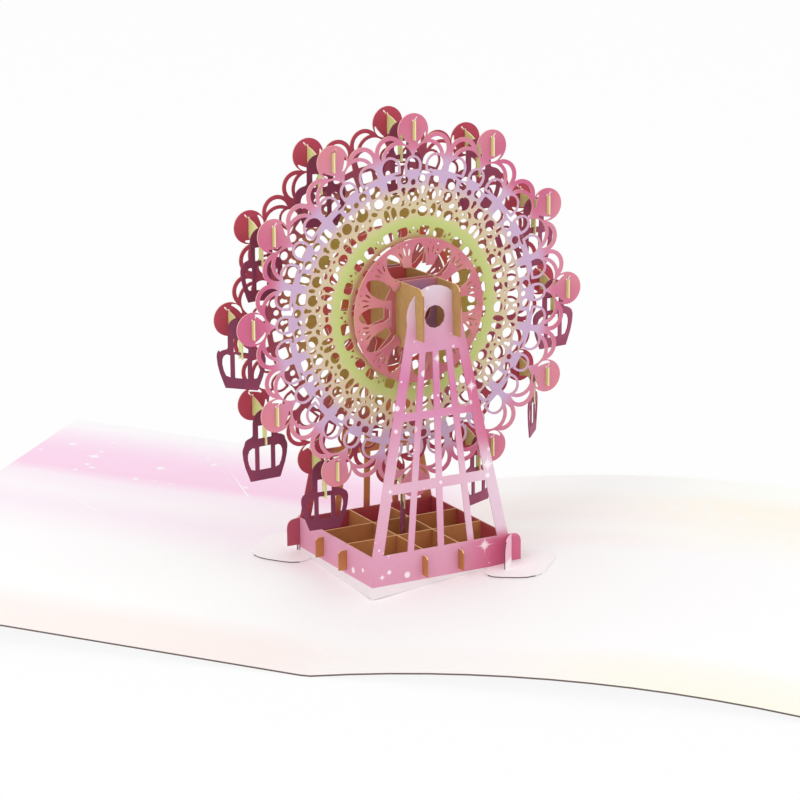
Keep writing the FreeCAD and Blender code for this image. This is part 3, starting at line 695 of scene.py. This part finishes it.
def card_print():
    """Soft fields of colour on the inside of the card, plain white below, with painted shade on the cut edges.
    """
    p = Print("card_print", 0.55, 0.06)
    x, y, z = p.card_mm()
    wave = p.math("MULTIPLY", p.math("SUBTRACT", p.noise(9, 3, 0.55, squash=(0.45, 1, 1)), 0.5), 26)
    v = p.math("ADD", y, wave)
    left = p.ramp(v, ((-96, (0.995, 0.955, 0.94)), (-82, (0.995, 0.96, 0.945)), (-66, (1, 1, 1)),
                      (-22, (1, 1, 1)), (-8, (1, 0.975, 0.99)), (8, (1, 0.95, 0.985)), (24, (1, 0.975, 0.99)),
                      (38, (1, 0.95, 0.985)), (48, (1, 0.85, 0.94)), (66, (1, 0.86, 0.95)),
                      (78, (1, 0.91, 0.97)), (94, (1, 0.99, 1))), -100, 100)
    right = p.ramp(v, ((-96, (0.995, 0.985, 0.975)), (-84, (0.995, 0.985, 0.975)), (-74, (1, 1, 1)),
                       (12, (1, 1, 1)), (26, (1, 0.975, 0.97)), (40, (1, 0.99, 0.98)), (52, (1, 0.972, 0.965)),
                       (68, (1, 0.978, 0.96)), (84, (1, 0.995, 0.99))), -100, 100)
    sunny = p.ramp(v, ((-96, (0.99, 0.985, 0.93)), (-78, (1, 0.99, 0.955)), (-66, (1, 1, 1)), (14, (1, 1, 1)),
                       (34, (1, 0.995, 0.97)), (56, (1, 0.98, 0.94)), (72, (1, 0.975, 0.925)),
                       (90, (1, 1, 0.98))), -100, 100)
    colour = p.mix(p.step(x, -18, 12), left, right)
    colour = p.mix(p.step(p.math("ADD", x, wave), 45, 105), colour, sunny)
    marks = None
    for at, size in (((-128, 62), 5.5), ((-103, 60), 5), ((-124, 50), 3.5), ((-88, 72), 3.5), ((-70, 53), 3),
                     ((-140, 72), 4), ((74, 64), 4), ((48, 58), 3), ((96, 60), 4)):
        one = p.star(x, y, at, size)
        marks = one if marks is None else p.math("MAXIMUM", marks, one)
    for start, end in (((-66, 44), (-82, 70)), ((88, 54), (80, 76)), ((-106, 8), (-128, 26))):
        marks = p.math("MAXIMUM", marks, p.streak(x, y, start, end, 0.8))
    marks = p.math("MAXIMUM", marks, p.math("MULTIPLY", p.dots(x, y, 7, 1.3, 4.0), p.step(y, 36, 44)))
    colour = p.mix(p.math("MULTIPLY", marks, 0.85), colour, (1, 1, 1))
    top = p.step(p.facing(UP), 0.3, 0.7)
    # The card's cut edges are dark grey brown: painted shade along the edge.
    edge = p.step(p.math("ABSOLUTE", p.facing(UP)), 0.7, 0.3)
    colour = p.mix(top, (0.97, 0.97, 0.97), colour)
    return p.finish(p.mix(edge, colour, (0.42, 0.36, 0.35)), 0.015)


def anchor_print():
    """White patch with a pink fin; its cut edges are dark, partly laser burnt and partly painted shade."""
    p = Print("anchor_print")
    x, y, z = p.card_mm()
    pink = p.step(z, BOX_Z / MM + 1.2, BOX_Z / MM + 3)
    colour = p.mix(pink, (1.0, 0.985, 0.99), (0.96, 0.76, 0.84))
    # Faces that neither stand across x nor lie flat are the cut edges, dark grey brown: partly laser burnt,
    # partly painted shade.
    upright = p.step(p.math("ABSOLUTE", p.facing(Vector((1, 0, 0)))), 0.7, 0.9)
    lying = p.step(p.math("ABSOLUTE", p.facing(UP)), 0.7, 0.9)
    flat = p.math("MAXIMUM", upright, lying)
    return p.finish(p.mix(flat, (0.36, 0.26, 0.26), colour), 0.02)


materials = {"card": card_print(), "left_anchor": anchor_print(),
             "front_tower": tower_print("front_tower_print", True),
             "rear_tower": tower_print("rear_tower_print", False), "kraft": kraft_print(),
             "wheel_disc_front": lace_print(), "hub_disc_front": rose_print(), "hanger": hanger_print(),
             "gondola": gondola_print()}
materials["right_anchor"] = materials["left_anchor"]
materials["wheel_disc_rear"] = materials["wheel_disc_front"]
materials["hub_disc_rear"] = materials["hub_disc_front"]

slots = {entry["node"]: entry["material_slot"] for entry in frame["record"]["subparts"]}
for name, node in frame["nodes"].items():
    node.data.materials.clear()
    node.data.materials.append(materials[slots[name]])

# Finer discs in place of the frame's plainer ones
for kind, make in (("wheel_disc", lace_disc), ("hub_disc", rose_disc)):
    front = make()
    rear = rear_copy(front, front.name.replace("front", "rear"))
    for piece, node in ((front, kind + "_front"), (rear, kind + "_rear")):
        piece.data.materials.append(materials[node])
        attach(piece, "root")
        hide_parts(node)

# Hangers and gondolas with rounder outlines
for k in range(HEADS):
    for piece, kind in ((hanger_sheet(k), "hanger"), (gondola_sheet(k), "gondola")):
        piece.data.materials.append(materials[kind])
        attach(piece, "root")
        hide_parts("%s_%02d" % (kind, k + 1))

# Floor, light and camera

def stage_material(name, colour, glow):
    """Pale ground whose camera ray is lifted to white, while its shadows stay."""
    made = bpy.data.materials.new(name)
    made.use_nodes = True
    tree = made.node_tree
    shader = tree.nodes["Principled BSDF"]
    shader.inputs["Base Color"].default_value = linear(colour)
    shader.inputs["Roughness"].default_value = 0.9
    shader.inputs["Specular IOR Level"].default_value = 0.0
    light_path = tree.nodes.new("ShaderNodeLightPath")
    white = tree.nodes.new("ShaderNodeEmission")
    white.inputs["Strength"].default_value = 1.0
    share = tree.nodes.new("ShaderNodeMath")
    share.operation = "MULTIPLY"
    share.inputs[1].default_value = glow
    tree.links.new(light_path.outputs["Is Camera Ray"], share.inputs[0])
    blend = tree.nodes.new("ShaderNodeMixShader")
    tree.links.new(share.outputs[0], blend.inputs[0])
    tree.links.new(shader.outputs[0], blend.inputs[1])
    tree.links.new(white.outputs[0], blend.inputs[2])
    tree.links.new(blend.outputs[0], tree.nodes["Material Output"].inputs["Surface"])
    return made


FLOOR_REACH = 6.0
FLOOR_Z = -0.1 * MM
floor_mesh = bpy.data.meshes.new("floor")
floor_mesh.from_pydata([(a * FLOOR_REACH, b * FLOOR_REACH, FLOOR_Z) for a, b in SQUARE], [], [(0, 1, 2, 3)])
floor = bpy.data.objects.new("floor", floor_mesh)
floor.data.materials.append(stage_material("floor_white", (0.97, 0.97, 0.97), 0.9))
bpy.context.scene.collection.objects.link(floor)

world = bpy.data.worlds.new("studio")
bpy.context.scene.world = world
world.use_nodes = True
tree = world.node_tree
soft = tree.nodes["Background"]
soft.inputs["Color"].default_value = (1, 1, 1, 1)
soft.inputs["Strength"].default_value = 0.88
plain = tree.nodes.new("ShaderNodeBackground")
plain.inputs["Color"].default_value = (1, 1, 1, 1)
plain.inputs["Strength"].default_value = 1.0
rays = tree.nodes.new("ShaderNodeLightPath")
blend = tree.nodes.new("ShaderNodeMixShader")
tree.links.new(rays.outputs["Is Camera Ray"], blend.inputs[0])
tree.links.new(soft.outputs[0], blend.inputs[1])
tree.links.new(plain.outputs[0], blend.inputs[2])
tree.links.new(blend.outputs[0], tree.nodes["World Output"].inputs["Surface"])


def lamp(name, place, target, size, power):
    data = bpy.data.lights.new(name, "AREA")
    data.size = size
    data.energy = power
    made = bpy.data.objects.new(name, data)
    made.location = place
    made.rotation_mode = "QUATERNION"
    made.rotation_quaternion = (Vector(target) - Vector(place)).to_track_quat("-Z", "Y")
    bpy.context.scene.collection.objects.link(made)


middle = Vector((0, 0, 0.06))
lamp("key", (-0.55, -1.1, 1.25), middle, 0.9, 5.5)
lamp("fill", (1.2, -0.7, 0.7), middle, 0.9, 2)

CAMERA_AZIMUTH = math.radians(16.08)
CAMERA_HEIGHT = math.radians(14.92)
CAMERA_ROLL = math.radians(-0.43)
CAMERA_AWAY = 0.8807
LOOK_AT = Vector((-0.00058, -0.00017, 0.0543))
back = Vector((math.sin(CAMERA_AZIMUTH) * math.cos(CAMERA_HEIGHT),
               -math.cos(CAMERA_AZIMUTH) * math.cos(CAMERA_HEIGHT), math.sin(CAMERA_HEIGHT)))
lens = bpy.data.cameras.new("camera")
lens.sensor_width = 36.0
lens.lens = 128.9
lens.clip_start = 0.05
lens.clip_end = 30.0
camera = bpy.data.objects.new("camera", lens)
camera.location = LOOK_AT + back * CAMERA_AWAY
camera.rotation_mode = "QUATERNION"
turn = (-back).to_track_quat("-Z", "Y")
camera.rotation_quaternion = turn @ Matrix.Rotation(CAMERA_ROLL, 3, "Z").to_quaternion()
bpy.context.scene.collection.objects.link(camera)
bpy.context.scene.camera = camera
bpy.context.scene.view_settings.view_transform = "Standard"
